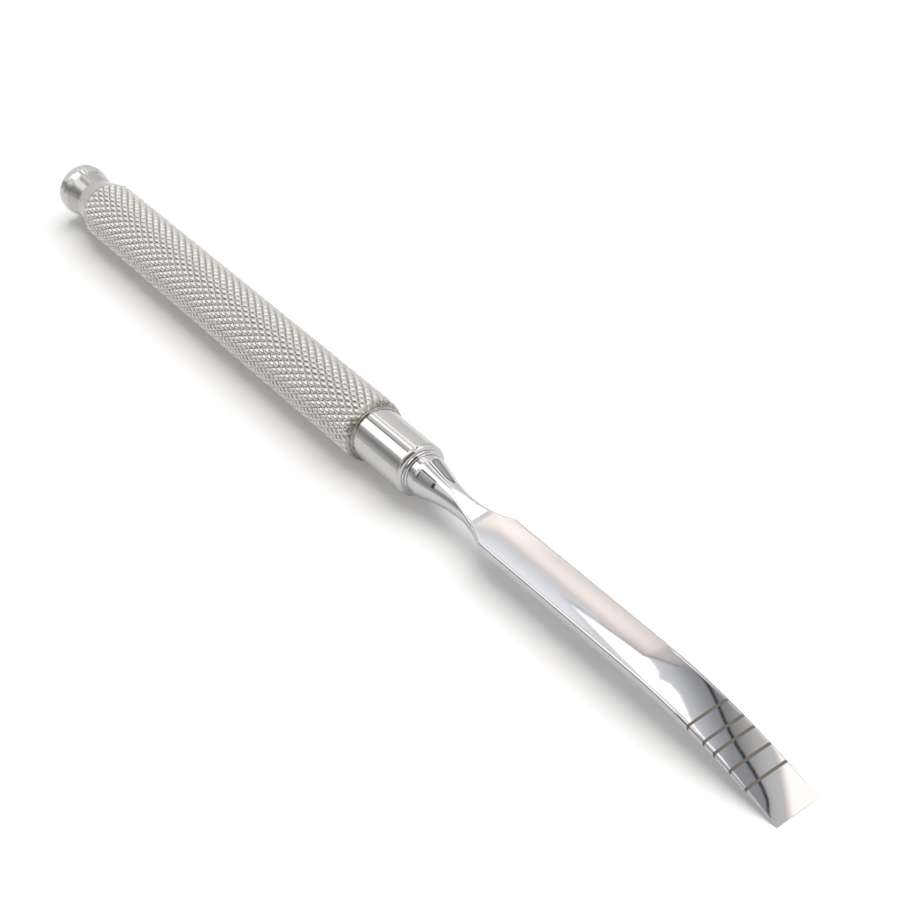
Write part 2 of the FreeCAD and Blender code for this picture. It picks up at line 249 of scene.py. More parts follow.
def turned(name, points, start, materials, segments=128):
    """Closed mesh of an outline turned about the handle's axis."""
    shape = bmesh.new()
    rings = []
    for point, _ in points:
        radius = max(point.y, 0.0)
        if radius < 1e-6:
            rings.append([shape.verts.new(((start + point.x) * MM, 0, AXIS_HEIGHT * MM))] * segments)
            continue
        ring = []
        for segment in range(segments):
            angle = 2 * math.pi * segment / segments
            ring.append(shape.verts.new((
                (start + point.x) * MM,
                radius * math.sin(angle) * MM,
                (AXIS_HEIGHT + radius * math.cos(angle)) * MM)))
        rings.append(ring)
    for index in range(len(rings) - 1):
        for segment in range(segments):
            following = (segment + 1) % segments
            corners = [rings[index][segment], rings[index][following],
                       rings[index + 1][following], rings[index + 1][segment]]
            face = shape.faces.new(list(dict.fromkeys(corners)))
            face.material_index = points[index][1]
    bmesh.ops.recalc_face_normals(shape, faces=shape.faces)
    mesh = bpy.data.meshes.new(name)
    shape.to_mesh(mesh)
    shape.free()
    return finished(name, mesh, materials, 40)


handle = turned("turned_handle", rounded_outline(HANDLE_CORNERS), HANDLE_START,
                [mirror_steel, satin_steel])

# %% [markdown]
# ## The knurl
# A knurling wheel rolls two sets of grooves into the bar, and four-sided points stand
# between them, their tops worn smooth by polishing. It repeats by a rule, so Geometry
# Nodes make it: places on a flat sheet, one domed point on each, and then the whole sheet
# rolled up round the axis. Rolling comes after the points are real mesh, so that all
# their corners meet. There are 26 grooves each way, and a point is 2.28 mm long. The
# wheel has also marked the upper end of both bevels, so 76 rows fill the length.

# %% Sums behind the knurl
DOME_POWER = 3.2
BEVEL_SHARE = 0.4

KNURL_INPUTS = (
    ("Starts", "Int"), ("Rows", "Int"), ("First row", "Float"), ("Row pitch", "Float"),
    ("Groove radius", "Float"), ("Depth", "Float"), ("Fineness", "Int"), ("End radius", "Float"),
    ("End slope", "Float"), ("Axis height", "Float"), ("Finish", "Material"))

# A line of sums is a result, what is done, and two numbers: a value, an input or an earlier
# result. X, Y and Z are the place of the corner that is moved.
# Where each point stands on the flat sheet. Every other row is half a step over.
SHEET_SUMS = (
    ("middle", "ADD", "Index", 0.5),
    ("rows before", "DIVIDE", "middle", "Starts"),
    ("row", "FLOOR", "rows before", 0.0),
    ("points before", "MULTIPLY", "row", "Starts"),
    ("in row", "SUBTRACT", "Index", "points before"),
    ("even steps", "MULTIPLY", "in row", 2.0),
    ("odd step", "FLOORED_MODULO", "row", 2.0),
    ("steps", "ADD", "even steps", "odd step"),
    ("half step", "DIVIDE", math.pi, "Starts"),
    ("angle", "MULTIPLY", "steps", "half step"),
    ("from first row", "MULTIPLY", "row", "Row pitch"),
    ("place", "ADD", "First row", "from first row"),
    ("all rows", "ADD", "Rows", 1.0),
    ("count", "MULTIPLY", "all rows", "Starts"))
# The dome of one point, and its grid stood on a corner, so that its sides are the grooves
POINT_SUMS = (
    ("off X", "ABSOLUTE", "X", 0.0),
    ("off Y", "ABSOLUTE", "Y", 0.0),
    ("fall X", "POWER", "off X", DOME_POWER),
    ("fall Y", "POWER", "off Y", DOME_POWER),
    ("left X", "SUBTRACT", 1.0, "fall X"),
    ("left Y", "SUBTRACT", 1.0, "fall Y"),
    ("dome", "MULTIPLY", "left X", "left Y"),
    ("X and Y", "ADD", "X", "Y"),
    ("X less Y", "SUBTRACT", "X", "Y"),
    ("point along", "MULTIPLY", "X and Y", 0.5),
    ("point across", "MULTIPLY", "X less Y", 0.5))
# Rolling up. Both ends are trimmed square, and over the bevels the points grow faint.
ROLL_SUMS = (
    ("length", "MULTIPLY", "Rows", "Row pitch"),
    ("last row", "ADD", "First row", "length"),
    ("past first", "MAXIMUM", "X", "First row"),
    ("along", "MINIMUM", "past first", "last row"),
    ("from first end", "SUBTRACT", "along", "First row"),
    ("from last end", "SUBTRACT", "last row", "along"),
    ("from end", "MINIMUM", "from first end", "from last end"),
    ("rise", "MULTIPLY", "from end", "End slope"),
    ("bevel", "ADD", "End radius", "rise"),
    ("faint point", "MULTIPLY", "Z", BEVEL_SHARE),
    ("over bevel", "ADD", "bevel", "faint point"),
    ("over groove", "ADD", "Groove radius", "Z"),
    ("radius", "MINIMUM", "over groove", "over bevel"),
    ("sine", "SINE", "Y", 0.0),
    ("cosine", "COSINE", "Y", 0.0),
    ("sideways", "MULTIPLY", "radius", "sine"),
    ("under axis", "MULTIPLY", "radius", "cosine"),
    ("height", "SUBTRACT", "Axis height", "under axis"))
print("sums in the knurl:", len(SHEET_SUMS + POINT_SUMS + ROLL_SUMS))


# %% Node tree for the knurl
def knurl_tree():
    tree = bpy.data.node_groups.new("diamond_knurl", "GeometryNodeTree")
    tree.interface.new_socket("Geometry", in_out="INPUT", socket_type="NodeSocketGeometry")
    for name, kind in KNURL_INPUTS:
        tree.interface.new_socket(name, in_out="INPUT", socket_type="NodeSocket" + kind)
    tree.interface.new_socket("Geometry", in_out="OUTPUT", socket_type="NodeSocketGeometry")
    given = add_node(tree, "NodeGroupInput").outputs
    position = add_node(tree, "GeometryNodeInputPosition").outputs["Position"]
    corner = add_node(tree, "ShaderNodeSeparateXYZ", inputs={"Vector": position}).outputs
    known = {name: given[name] for name, _ in KNURL_INPUTS}
    known.update({axis: corner[axis] for axis in "XYZ"})
    known["Index"] = add_node(tree, "GeometryNodeInputIndex").outputs["Index"]
    for result, operation, one, other in SHEET_SUMS + POINT_SUMS + ROLL_SUMS:
        known[result] = add_node(tree, "ShaderNodeMath", {"operation": operation}, {
            0: known.get(one, one), 1: known.get(other, other)}).outputs["Value"]

    # Flat sheet: X is along the axis and Y is the angle
    spot = add_node(tree, "ShaderNodeCombineXYZ", inputs={"X": known["place"], "Y": known["angle"]})
    points = add_node(tree, "GeometryNodePoints", inputs={
        "Count": known["count"], "Position": spot.outputs["Vector"]})

    # One domed point, set on every place
    grid = add_node(tree, "GeometryNodeMeshGrid", inputs={
        "Size X": 2.0, "Size Y": 2.0, "Vertices X": given["Fineness"], "Vertices Y": given["Fineness"]})
    on_corner = add_node(tree, "ShaderNodeCombineXYZ", inputs={
        "X": known["point along"], "Y": known["point across"], "Z": known["dome"]})
    point = add_node(tree, "GeometryNodeSetPosition", inputs={
        "Geometry": grid.outputs["Mesh"], "Position": on_corner.outputs["Vector"]})
    size = add_node(tree, "ShaderNodeCombineXYZ", inputs={
        "X": given["Row pitch"], "Y": known["half step"], "Z": given["Depth"]})
    placed = add_node(tree, "GeometryNodeInstanceOnPoints", inputs={
        "Points": points.outputs["Points"],
        "Instance": point.outputs["Geometry"],
        "Scale": size.outputs["Vector"]})
    sheet_of_points = add_node(tree, "GeometryNodeRealizeInstances", inputs={
        "Geometry": placed.outputs["Instances"]})

    # Roll the sheet up and weld its corners
    rolled = add_node(tree, "ShaderNodeCombineXYZ", inputs={
        "X": known["along"], "Y": known["sideways"], "Z": known["height"]})
    sleeve = add_node(tree, "GeometryNodeSetPosition", inputs={
        "Geometry": sheet_of_points.outputs["Geometry"], "Position": rolled.outputs["Vector"]})
    welded = add_node(tree, "GeometryNodeMergeByDistance", inputs={
        "Geometry": sleeve.outputs["Geometry"], "Distance": 0.001 * MM})
    painted = add_node(tree, "GeometryNodeSetMaterial", inputs={
        "Geometry": welded.outputs["Geometry"], "Material": given["Finish"]})
    add_node(tree, "NodeGroupOutput", inputs={"Geometry": painted.outputs["Geometry"]})
    return tree


# %% Make the knurl
def from_tree(name, tree, values):
    """Plain mesh that a node tree makes from named values."""
    holder = bpy.data.objects.new(name + "_maker", bpy.data.meshes.new(name + "_empty"))
    bpy.context.scene.collection.objects.link(holder)
    modifier = holder.modifiers.new("maker", "NODES")
    modifier.node_group = tree
    for item in tree.interface.items_tree:
        if item.in_out == "INPUT" and item.name in values:
            modifier[item.identifier] = values[item.name]
    graph = bpy.context.evaluated_depsgraph_get()
    mesh = bpy.data.meshes.new_from_object(holder.evaluated_get(graph))
    bpy.data.objects.remove(holder)
    return mesh


KNURL_STARTS = 26
KNURL_ROWS = 76
KNURL_ENDS = (10.3, 97.0)
KNURL_END_RADIUS = 4.73
knurl_mesh = from_tree("knurl", knurl_tree(), {
    "Starts": KNURL_STARTS,
    "Rows": KNURL_ROWS,
    "First row": (HANDLE_START + KNURL_ENDS[0]) * MM,
    "Row pitch": (KNURL_ENDS[1] - KNURL_ENDS[0]) / KNURL_ROWS * MM,
    "Groove radius": GROOVE_RADIUS * MM,
    "Depth": (GRIP_RADIUS - GROOVE_RADIUS) * MM,
    "Fineness": 7,
    "End radius": KNURL_END_RADIUS * MM,
    "End slope": 0.3,
    "Axis height": AXIS_HEIGHT * MM,
    "Finish": knurl_steel,
})

# %% Close the two ends of the knurl
shape = bmesh.new()
shape.from_mesh(knurl_mesh)
bmesh.ops.dissolve_degenerate(shape, dist=0.0001 * MM, edges=shape.edges)
rim_edges = [edge for edge in shape.edges if edge.is_boundary]
bmesh.ops.holes_fill(shape, edges=rim_edges)
bmesh.ops.recalc_face_normals(shape, faces=shape.faces)
shape.to_mesh(knurl_mesh)
print("knurl: open edges before closing", len(rim_edges), "box in mm",
      [round(max(v.co[i] for v in shape.verts) / MM, 3) for i in range(3)],
      [round(min(v.co[i] for v in shape.verts) / MM, 3) for i in range(3)])
shape.free()
knurl = finished("diamond_knurl", knurl_mesh, [], 50)

# %% [markdown]
# ## The forged blade
# The blade starts round, tapers to a neck, and flares into a flat bar that is ground
# thinner and bent down to the edge. Each cross-section is therefore a circle cut by a
# rectangle, and polishing has softened its corners. Lofting such sections gives clean
# strips of quads, and a mirror finish needs those: any pinched face would show as a
# kink in a reflection. Booleans would have been shorter, and would have left such faces.

# %% Sizes of the blade, in mm from the ring that seats on the collar
BLADE_START = 14.85
TANG_START = -13.4
TANG_RADIUS = 1.98
TANG_BEVEL = 0.4
# Where the seat ring, the root, the cone and the neck end, and the radius there
SEAT = (0.4, 3.75)
ROOT = (2.0, 3.28)
CONE = (5.0, 2.571)
NECK = (11.7, 1.78)
SHOULDER = 18.7
HALF_WIDTH = 3.5
HALF_THICKNESS = 0.95
# The scoop's two ends, its height at the first, the share of it that is an arc, and how far it runs on
SCOOP = (9.1, 15.6)
SCOOP_TOP = 1.895
SCOOP_ARC = 0.7
SCOOP_RUN_ON = 1.0
CURVE_START = 51.1
UNDERSIDE_LAG = 1.0
TIP = 79.5
TIP_DROP = 5.25
EDGE_LAND = 0.12
CROWN = 0.08
MARKS = (6.0, 9.0, 12.0, 14.0, 17.0)
MARK_WIDTH = 0.4
MARK_CUT = 0.04
# Larger than any radius, width or height: nothing is cut there
UNCUT = 99.0
print("blade in mm:", TIP, "long and", 2 * HALF_WIDTH, "wide")


# %% Profile of the blade
def arc_rise(run, full_run, full_rise):
    """Height of an arc that starts level and has risen fully after the full run."""
    radius = (full_run ** 2 + full_rise ** 2) / (2 * full_rise)
    return radius - math.sqrt(max(radius ** 2 - run ** 2, 0.0))


def turned_radius(place):
    """Radius that the lathe left: seat, root, cone, taper, and a trumpet past the shoulders."""
    if place <= SEAT[0]:
        return SEAT[1]
    if place <= ROOT[0]:
        return ROOT[1]
    if place <= CONE[0]:
        return ROOT[1] + (CONE[1] - ROOT[1]) * (place - ROOT[0]) / (CONE[0] - ROOT[0])
    if place <= NECK[0]:
        return NECK[1] + arc_rise(NECK[0] - place, NECK[0] - CONE[0], CONE[1] - NECK[1])
    full = HALF_WIDTH + HALF_THICKNESS - NECK[1]
    if place < SHOULDER:
        return NECK[1] + arc_rise(place - NECK[0], SHOULDER - NECK[0], full)
    return UNCUT


def half_width(place):
    """Distance from the centre plane to a flank."""
    if place <= NECK[0]:
        return UNCUT
    if place < SHOULDER:
        return NECK[1] + arc_rise(place - NECK[0], SHOULDER - NECK[0], HALF_WIDTH - NECK[1])
    return HALF_WIDTH


def upper(place):
    """Height of the upper face over the handle's axis. The scoop's arc ends in a straight run."""
    if place <= SCOOP[0] - SCOOP_RUN_ON:
        return UNCUT
    if place < SCOOP[1]:
        full_run, full_rise = SCOOP[1] - SCOOP[0], SCOOP_TOP - HALF_THICKNESS
        on_arc = min(SCOOP[1] - place, SCOOP_ARC * full_run)
        slope = 2 * full_rise / full_run * on_arc / full_run
        straight = (SCOOP[1] - place - on_arc) * slope
        return HALF_THICKNESS + full_rise * (on_arc / full_run) ** 2 + straight
    if place <= CURVE_START:
        return HALF_THICKNESS
    full = HALF_THICKNESS + TIP_DROP - EDGE_LAND
    return HALF_THICKNESS - arc_rise(place - CURVE_START, TIP - CURVE_START, full)


def lower(place):
    """Height of the underside, which starts to curve a little later."""
    start = CURVE_START + UNDERSIDE_LAG
    if place <= start:
        return -upper(place)
    return -HALF_THICKNESS - arc_rise(place - start, TIP - start, TIP_DROP - HALF_THICKNESS)


print("upper face in mm at the edge:", round(upper(TIP), 2), "and underside:", round(lower(TIP), 2))

# %% One cross-section of the blade
SECTION_STEPS = 180


def spread(outline, count):
    """Points spread half by length and half by turning, so that corners get enough of them."""
    lengths = [0.0]
    for one, other in zip(outline, outline[1:]):
        lengths.append(lengths[-1] + math.hypot(other[0] - one[0], other[1] - one[1]))
    share = [0.5 * length / lengths[-1] + 0.5 * (math.pi / 2 - point[2]) / math.pi
             for length, point in zip(lengths, outline)]
    points = []
    place = 0
    for index in range(count + 1):
        target = index / count
        while place < len(share) - 2 and share[place + 1] < target:
            place += 1
        span = share[place + 1] - share[place]
        part = (target - share[place]) / span if span > 1e-12 else 0.0
        part = min(max(part, 0.0), 1.0)
        here, there = outline[place], outline[place + 1]
        points.append(tuple(here[axis] + part * (there[axis] - here[axis]) for axis in (0, 1)))
    return points


def half_section(radius, width, top, bottom, softness, count):
    """Points from the middle of the top, round the +Y side, to the middle of the bottom."""
    top = min(top, radius)
    bottom = max(bottom, -radius)
    width = min(width, radius)
    inner_radius = radius - softness
    inner_width = width - softness
    inner_top = top - softness
    inner_bottom = bottom + softness
    candidates = []
    for level in (inner_top, inner_bottom):
        reach = math.sqrt(max(inner_radius ** 2 - level ** 2, 0.0))
        candidates.append((min(inner_width, reach), level))
        height_at_width = math.sqrt(max(inner_radius ** 2 - inner_width ** 2, 0.0))
        level_at_width = math.copysign(height_at_width, level)
        if inner_bottom <= level_at_width <= inner_top:
            candidates.append((inner_width, level_at_width))
    outline = [(0.0, top, math.pi / 2)]
    for step in range(SECTION_STEPS + 1):
        angle = math.pi / 2 - math.pi * step / SECTION_STEPS
        across, up = math.cos(angle), math.sin(angle)
        on_disc = (inner_radius * across, inner_radius * up)
        if on_disc[0] <= inner_width and inner_bottom <= on_disc[1] <= inner_top:
            best = on_disc
        else:
            best = max(candidates, key=lambda point: point[0] * across + point[1] * up)
        outline.append((best[0] + softness * across, best[1] + softness * up, angle))
    outline.append((0.0, bottom, -math.pi / 2))
    return spread(outline, count)


print("points round a disc of 1 mm:", len(half_section(1.0, UNCUT, UNCUT, -UNCUT, 0.1, 12)))

# %% Stations along the blade
def mark_place(distance):
    """Where a depth line lies, measured back from the edge along the upper face."""
    full = HALF_THICKNESS + TIP_DROP - EDGE_LAND
    run = TIP - CURVE_START
    radius = (run ** 2 + full ** 2) / (2 * full)
    return CURVE_START + radius * math.sin(math.asin(run / radius) - distance / radius)


def spaced(start, end, step):
    """Places from start to end, evenly spaced by about the step."""
    count = max(1, round((end - start) / step))
    return [start + (end - start) * index / count for index in range(count + 1)]


# Start, end and step of each stretch. Curved ones need more stations than straight ones.
STRETCHES = ((0.6, ROOT[0] - 0.05, 0.45), (ROOT[0] + 0.05, CONE[0], 0.6), (CONE[0], 8.3, 0.3),
             (8.3, SHOULDER, 0.1), (SHOULDER, CURVE_START, 1.5), (CURVE_START, TIP, 0.35))
LINE_WALL = 0.01
LINE_CLEAR = 0.04
line_spans = [(mark_place(distance + MARK_WIDTH / 2), mark_place(distance - MARK_WIDTH / 2))
              for distance in MARKS]
places = set()
for start, end, step in STRETCHES:
    places.update(round(place, 5) for place in spaced(start, end, step))
for low, high in line_spans:
    places = {place for place in places if not low - LINE_CLEAR < place < high + LINE_CLEAR}
    places.update(round(place, 5) for place in (low - LINE_WALL, low, high, high + LINE_WALL))
places = sorted(places)
print("stations:", len(places), "depth lines at", [round(low, 2) for low, _ in line_spans])

# %% Dress a cross-section
HALF_COUNT = 64
# How round polishing has left the edges, and how much rounder they are towards the neck
SOFTNESS = 0.45
NECK_SOFTNESS = 0.1
SOFT_SHARE = 0.35
CROWN_END = SHOULDER + 2.0


def held(value):
    """A share that stays between none and all."""
    return min(max(value, 0.0), 1.0)


def in_a_line(place):
    return any(low - 1e-4 <= place <= high + 1e-4 for low, high in line_spans)


def dressed_section(place):
    """Half a cross-section with the crown of its upper face, and with the groove of a depth line."""
    top, bottom, radius = upper(place), lower(place), turned_radius(place)
    thickness = min(top, radius) - max(bottom, -radius)
    flare = held((SHOULDER - place) / (SHOULDER - NECK[0]))
    softness = min(SOFTNESS + NECK_SOFTNESS * flare, SOFT_SHARE * thickness)
    crown = CROWN * held((place - SCOOP[1]) / (CROWN_END - SCOOP[1]))
    points = []
    for across, up in half_section(radius, half_width(place), top, bottom, softness, HALF_COUNT):
        share = held((up - bottom) / (top - bottom))
        cut = MARK_CUT if in_a_line(place) and share > 0.5 else 0.0
        points.append((across, up - share * crown * (across / HALF_WIDTH) ** 2 - cut))
    return points


print("thickness in mm halfway along:", round(2 * dressed_section(40.0)[0][1], 2))

# %% Loft the blade
# Place and radius of the plain rings: tang, seat ring, and the fillet down to the root
ROUND_RINGS = (
    (TANG_START, TANG_RADIUS - TANG_BEVEL), (TANG_START + TANG_BEVEL, TANG_RADIUS), (0.0, TANG_RADIUS),
    (0.0, SEAT[1] - 0.08), (0.08, SEAT[1]), (SEAT[0] - 0.06, SEAT[1]), (SEAT[0], SEAT[1] - 0.06),
    (SEAT[0], ROOT[1] + 0.18), (SEAT[0] + 0.02, ROOT[1] + 0.1), (SEAT[0] + 0.07, ROOT[1] + 0.03),
    (SEAT[0] + 0.15, ROOT[1]))


def half_circle(radius):
    angles = [math.pi / 2 - math.pi * index / HALF_COUNT for index in range(HALF_COUNT + 1)]
    return [(radius * math.cos(angle), radius * math.sin(angle)) for angle in angles]


def blade_mesh():
    """Closed mesh lofted through all rings. The floors of the depth lines have the second finish."""
    shape = bmesh.new()
    sections = [(place, half_circle(radius)) for place, radius in ROUND_RINGS]
    sections += [(place, dressed_section(place)) for place in places]
    rings = []
    for place, points in sections:
        loop = points + [(-across, up) for across, up in reversed(points[1:-1])]
        rings.append([shape.verts.new(((BLADE_START + place) * MM, across * MM, (AXIS_HEIGHT + up) * MM))
                      for across, up in loop])
    full_count = 2 * HALF_COUNT
    for index in range(len(rings) - 1):
        both_marked = in_a_line(sections[index][0]) and in_a_line(sections[index + 1][0])
        for step in range(full_count):
            following = (step + 1) % full_count
            face = shape.faces.new([rings[index][step], rings[index][following],
                                    rings[index + 1][following], rings[index + 1][step]])
            faces_up = min(step, full_count - 1 - step) < HALF_COUNT / 2
            face.material_index = 1 if both_marked and faces_up else 0
    shape.faces.new(rings[0])
    shape.faces.new(rings[-1])
    bmesh.ops.recalc_face_normals(shape, faces=shape.faces)
    mesh = bpy.data.meshes.new("forged_blade")
    shape.to_mesh(mesh)
    shape.free()
    return mesh


blade = finished("forged_blade", blade_mesh(), [blade_steel, line_oxide], 38)

# %% [markdown]
# ## Ride on the frame
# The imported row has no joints, so all pieces ride on the one body. Each piece stands for
# its CAD node, which stays in the physics model and isn't drawn.

# %% Tie the pieces to the CAD nodes
for piece, node, slot in ((handle, "handle", "handle_steel"), (knurl, "handle", "handle_steel"),
                          (blade, "blade", "blade_steel")):
    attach(piece, "root")
    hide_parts(node)
    print(piece.name, "stands for", node)

# %% [markdown]
# ## Studio
# Polished steel is a picture of the room around it, so the room is built like a studio
# for products. The floor and the surround are white. They look brighter to the camera
# and in reflections than they light things, which keeps the background white while the
# shadow stays.

# %% Floor and surround
def add_material(name):
    """An empty material and its output node."""
    material = bpy.data.materials.new(name)
    material.use_nodes = True
    material.node_tree.nodes.clear()
    return material, add_node(material.node_tree, "ShaderNodeOutputMaterial")


def seen_directly(tree):
    """1 for rays from the camera, in a mirror or through glass, and 0 for those that light things."""
    path = add_node(tree, "ShaderNodeLightPath").outputs
    mirrored = add_node(tree, "ShaderNodeMath", {"operation": "MAXIMUM"}, {
        0: path["Is Camera Ray"], 1: path["Is Glossy Ray"]}).outputs["Value"]
    return add_node(tree, "ShaderNodeMath", {"operation": "MAXIMUM"}, {
        0: mirrored, 1: path["Is Transmission Ray"]}).outputs["Value"]


def sheet(name, corners, material):
    """A flat sheet that belongs to the studio."""
    mesh = bpy.data.meshes.new(name)
    mesh.from_pydata(corners, [], [tuple(range(len(corners)))])
    mesh.materials.append(material)
    made = bpy.data.objects.new(name, mesh)
    bpy.context.scene.collection.objects.link(made)
    made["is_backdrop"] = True
    return made


paper, paper_output = add_material("white_paper_floor")
matt = add_node(paper.node_tree, "ShaderNodeBsdfDiffuse", inputs={"Color": linear("#F4F3F2")})
lift = add_node(paper.node_tree, "ShaderNodeMath", {"operation": "MULTIPLY"}, {
    0: seen_directly(paper.node_tree), 1: 0.12})
glow = add_node(paper.node_tree, "ShaderNodeEmission", inputs={"Strength": lift.outputs["Value"]})
both = add_node(paper.node_tree, "ShaderNodeAddShader", inputs={
    0: matt.outputs["BSDF"], 1: glow.outputs["Emission"]})
paper.node_tree.links.new(both.outputs["Shader"], paper_output.inputs["Surface"])
REACH = 12.0
sheet("floor", [(-REACH, -REACH, 0), (REACH, -REACH, 0), (REACH, REACH, 0), (-REACH, REACH, 0)], paper)

world = bpy.data.worlds.new("white_surround")
bpy.context.scene.world = world
world.use_nodes = True
world.node_tree.nodes.clear()
level = add_node(world.node_tree, "ShaderNodeMapRange", inputs={
    "Value": seen_directly(world.node_tree), "To Min": 0.35, "To Max": 1.1})
sky = add_node(world.node_tree, "ShaderNodeBackground", inputs={
    "Color": linear("#FFFFFF"), "Strength": level.outputs["Result"]})
add_node(world.node_tree, "ShaderNodeOutputWorld", inputs={"Surface": sky.outputs["Background"]})
print("floor reaches", REACH, "m each way")

# %% [markdown]
# ## Cards that only the steel sees
# What a mirror shows depends on little more than direction. So a spot on a card is
# written as the direction in which the steel sees it: how far across and how far up the
# ceiling it is, in multiples of the ceiling's height. Softboxes are cards that glow
# brightly, flags are cards that hardly glow, and a fade makes the soft edges between
# them. The narrow strips are what draws the thin lines in the blade.

# %% Helpers for cards
CEILING = 12.0


def card(name, corners, strength, fades=(), colour="#FFFFFF"):
    """A glowing sheet. Each fade multiplies its strength between two distances along a direction."""
    material, output = add_material(name)
    tree = material.node_tree
    for direction, first, second, factor in fades:
        along = add_node(tree, "ShaderNodeVectorMath", {"operation": "DOT_PRODUCT"}, {
            0: add_node(tree, "ShaderNodeTexCoord").outputs["Object"], 1: direction})
        share = add_node(tree, "ShaderNodeMapRange", {"interpolation_type": "SMOOTHSTEP"}, {
            "Value": along.outputs["Value"], "From Min": first, "From Max": second,
            "To Min": 1.0, "To Max": factor})
        strength = add_node(tree, "ShaderNodeMath", {"operation": "MULTIPLY"}, {
            0: share.outputs["Result"], 1: strength}).outputs["Value"]
    glow = add_node(tree, "ShaderNodeEmission", inputs={
        "Color": linear(colour), "Strength": strength})
    tree.links.new(glow.outputs["Emission"], output.inputs["Surface"])
    made = sheet(name, corners, material)
    made.visible_camera = False
    made.visible_diffuse = False
    made.visible_shadow = False
    made.visible_transmission = False


CARD_GAP = 0.01
hung = []


def overhead(name, spots, strength, fades=(), colour="#FFFFFF", ceiling=CEILING):
    """A card in the ceiling, just under the one before. Places are in multiples of its height."""
    hung.append(name)
    height = ceiling - CARD_GAP * len(hung)
    card(name, [(across * height, up * height, height) for across, up in spots], strength,
         [((across, up, 0), first * height, second * height, factor)
          for (across, up), first, second, factor in fades], colour)


def upright(name, azimuths, elevations, strength, factor=1.0, distance=6.0, colour="#FFFFFF"):
    """A card that stands round the object. Its upper edge is as bright as the lower times the factor."""
    low, high = (distance * math.tan(math.radians(elevation)) for elevation in elevations)
    turns = [math.radians(azimuth) for azimuth in azimuths]
    edges = ((turns[0], low), (turns[1], low), (turns[1], high), (turns[0], high))
    corners = [(distance * math.cos(turn), distance * math.sin(turn), height) for turn, height in edges]
    card(name, corners, strength, [((0, 0, 1), low, high, factor)], colour)


def strip(spots, width):
    """Corners of a narrow strip with a line of spots as its middle."""
    half = width / 2
    return [(across, up - half) for across, up in spots] + [
        (across, up + half) for across, up in reversed(spots)]


print("ceiling at", CEILING, "m")

# %% Cards over the blade
# The haze over the flat: cooler on the near side, warmer on the far side
overhead("haze_far", [(-1.15, 0.53), (-0.4, 0.53), (-0.4, 0.8), (-1.15, 0.8)], 1.5,
         [((0, 1), 0.53, 0.585, 1.4), ((0, 1), 0.6, 0.68, 0.8), ((1, 0), -0.955, -0.91, 0.77),
          ((1, 0), -0.83, -0.7, 0.6), ((1, 0), -0.7, -0.44, 0.42)], "#FFF6F0")
overhead("haze_near", [(-1.15, 0.38), (-0.55, 0.38), (-0.55, 0.53), (-1.15, 0.53)], 1.6,
         [((0, 1), 0.42, 0.525, 0.74), ((1, 0), -0.81, -0.76, 0.8)], "#F8FAFF")
# Two thin lines divide what the curved tip shows
GREY_LINE = [(-0.823, 0.494), (-0.807, 0.51), (-0.79, 0.521), (-0.773, 0.532), (-0.718, 0.547),
             (-0.653, 0.555), (-0.592, 0.567), (-0.535, 0.585), (-0.502, 0.604)]
DARK_LINE = [(-0.502, 0.612), (-0.439, 0.592), (-0.357, 0.559), (-0.278, 0.524), (-0.203, 0.489),
             (-0.13, 0.46), (-0.06, 0.438), (0.01, 0.426), (0.08, 0.418), (0.151, 0.406),
             (0.206, 0.391), (0.244, 0.369), (0.27, 0.35)]
BEFORE_LINES = GREY_LINE + DARK_LINE + [
    (0.3, 0.24), (0.1, 0.27), (-0.15, 0.345), (-0.33, 0.38), (-0.6, 0.38), (-0.79, 0.46)]
AFTER_LINES = DARK_LINE + [(0.45, 0.25), (0.45, 0.345), (0.0, 0.57), (-0.3, 0.72), (-0.5, 0.65)]
BEYOND_TIP = [(0.45, 0.34), (0.0, 0.565), (-0.1, 0.615), (0.1, 1.2), (1.3, 1.2), (1.3, 0.2)]
FLARE = [(-0.815, 0.49), (-0.788, 0.474), (-0.765, 0.463), (-0.739, 0.447), (-0.62, 0.415),
         (-0.57, 0.36), (-0.2, 0.25), (0.1, 0.27), (-0.051, 0.335), (-0.186, 0.359),
         (-0.275, 0.385), (-0.35, 0.418), (-0.409, 0.442), (-0.488, 0.46), (-0.545, 0.452),
         (-0.594, 0.486), (-0.665, 0.514), (-0.718, 0.53), (-0.761, 0.53), (-0.79, 0.516)]
overhead("grey_before_line", BEFORE_LINES, 1.12, [((0.4, 1), 0.25, 0.4, 0.43)], "#F6FAFF")
overhead("grey_after_line", AFTER_LINES, 0.4, [((0.5, 1), 0.39, 0.565, 2.2)])
overhead("softbox_beyond_tip", BEYOND_TIP, 0.88, [((0.5, 1), 0.565, 0.62, 2.2)], "#FFF8F2")
overhead("band_over_taper", [(-0.72, 0.66), (-0.2, 0.63), (-0.2, 0.78), (-0.72, 0.82)], 1.8)
overhead("flare_softbox", FLARE, 2.3)
overhead("grey_line", strip(GREY_LINE, 0.013), 0.5)
overhead("dark_line", strip(DARK_LINE, 0.016), 0.05, colour="#BFD0FF")
print("cards over the blade:", len(hung))

